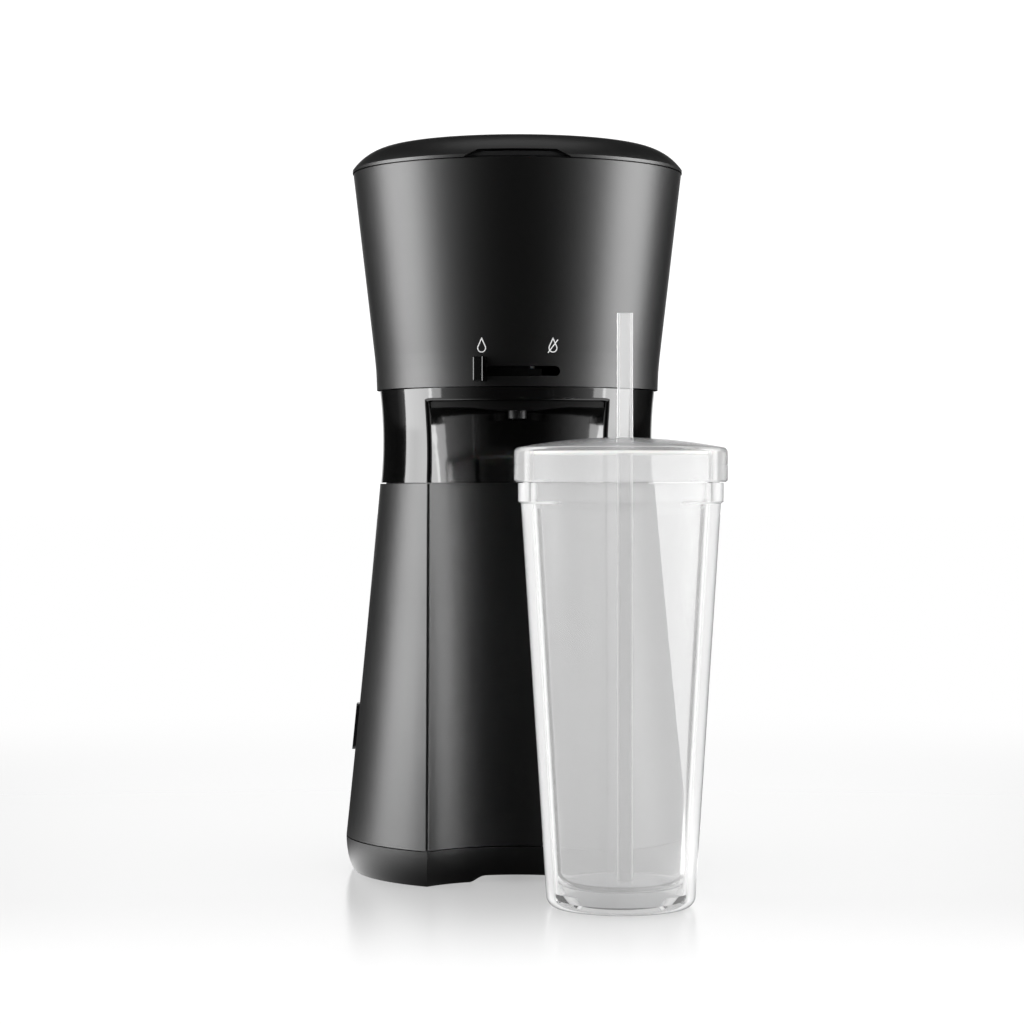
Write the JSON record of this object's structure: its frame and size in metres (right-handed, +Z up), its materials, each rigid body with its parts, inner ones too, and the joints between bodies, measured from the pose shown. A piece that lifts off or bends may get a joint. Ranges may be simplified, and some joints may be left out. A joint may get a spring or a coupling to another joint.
{
  "type": "iced coffee maker",
  "caption": "Slim black iced coffee maker with a hinged lid, brew basket, flow lever and side button, and a clear double-walled tumbler with screw lid and straw.",
  "frame": {"origin": "on the table, under the machine's vertical axis", "axes": "+Z up along the machine's axis, -Y the front with the tumbler bay, +X the viewer's right when facing the front"},
  "size_m": [0.1754, 0.2587, 0.3488],
  "materials": {
    "satin_black": "satin",
    "gloss_black": "gloss",
    "trim_black": "satin",
    "rubber_black": "matte",
    "inner_grey": "matte",
    "seal_white": "matte",
    "steel": "brushed",
    "aluminium": "as cast",
    "mesh": "fine mesh",
    "clear_plastic": "clear",
    "hose_white": "translucent silicone"
  },
  "bodies": {
    "machine": {"base_cover": "satin_black", "foot_ring": "rubber_black", "base_screws": "steel", "lower_body_shell": "satin_black", "neck_band": "gloss_black", "bay_ceiling": "trim_black", "spout": "trim_black", "head_shell": "satin_black", "head_floor": "inner_grey", "floor_screws": "steel", "head_deck": "trim_black", "deck_screws": "steel", "water_tank": "trim_black", "check_valve": "inner_grey", "brew_basket": "trim_black", "outlet_seal": "seal_white", "filter_frame": "trim_black", "filter_mesh": "mesh", "lever_pivot": "steel", "riser_nozzle": "seal_white", "hinge_pin": "steel", "button_spring": "steel", "switch_housing": "inner_grey", "switch_bracket": "steel", "heater_tube": "aluminium", "heating_rod": "aluminium", "heater_cradle": "steel", "thermostats": "steel", "cold_hose": "hose_white", "riser_hose": "hose_white", "hose_clamps": "steel", "terminal_block": "inner_grey", "cord_gland": "rubber_black"},
    "lid": {"lid_cover": "satin_black", "lid_liner": "trim_black", "lid_screws": "steel", "shower_head": "trim_black", "water_duct": "inner_grey"},
    "flow_lever": {"flow_lever": "trim_black", "lever_knob": "gloss_black"},
    "power_button": {"power_button": "trim_black"},
    "tumbler": {"tumbler_outer": "clear_plastic", "tumbler_inner": "clear_plastic"},
    "lid_gasket": {"lid_gasket": "seal_white"},
    "tumbler_lid": {"tumbler_lid": "clear_plastic"},
    "straw": {"straw": "clear_plastic"}
  },
  "joints": [
    {"name": "lid_hinge", "type": "hinge", "parent": "machine", "child": "lid", "pos_m": [0, 0.084, 0.337], "axis": [-1, 0, 0], "range_deg": [0, 95]},
    {"name": "flow_lever_turn", "type": "hinge", "parent": "machine", "child": "flow_lever", "pos_m": [0, 0, 0.2377], "axis": [0, 0, 1], "range_deg": [0, 27.2]},
    {"name": "power_button_press", "type": "slide", "parent": "machine", "child": "power_button", "axis": [1, 0, 0], "range_m": [0, 0.0015], "stiffness_N_per_m": 600, "springref_m": -0.0005},
    {"name": "tumbler_lift", "type": "slide", "parent": "machine", "child": "tumbler", "axis": [0, 0, 1], "range_m": [0, 0.15]},
    {"name": "tumbler_lid_rise", "type": "slide", "parent": "tumbler", "child": "lid_gasket", "axis": [0, 0, 1], "range_m": [0, 0.0065]},
    {"name": "tumbler_lid_turn", "type": "hinge", "parent": "lid_gasket", "child": "tumbler_lid", "pos_m": [0.0456, -0.124, 0.2], "axis": [0, 0, 1], "range_deg": [0, 720]},
    {"name": "straw_pull", "type": "slide", "parent": "tumbler_lid", "child": "straw", "axis": [0, 0, 1], "range_m": [0, 0.24]}
  ],
  "couplings": [
    {"joint": "tumbler_lid_rise", "follows": "tumbler_lid_turn", "m_per_rad": 0.0005093}
  ]
}
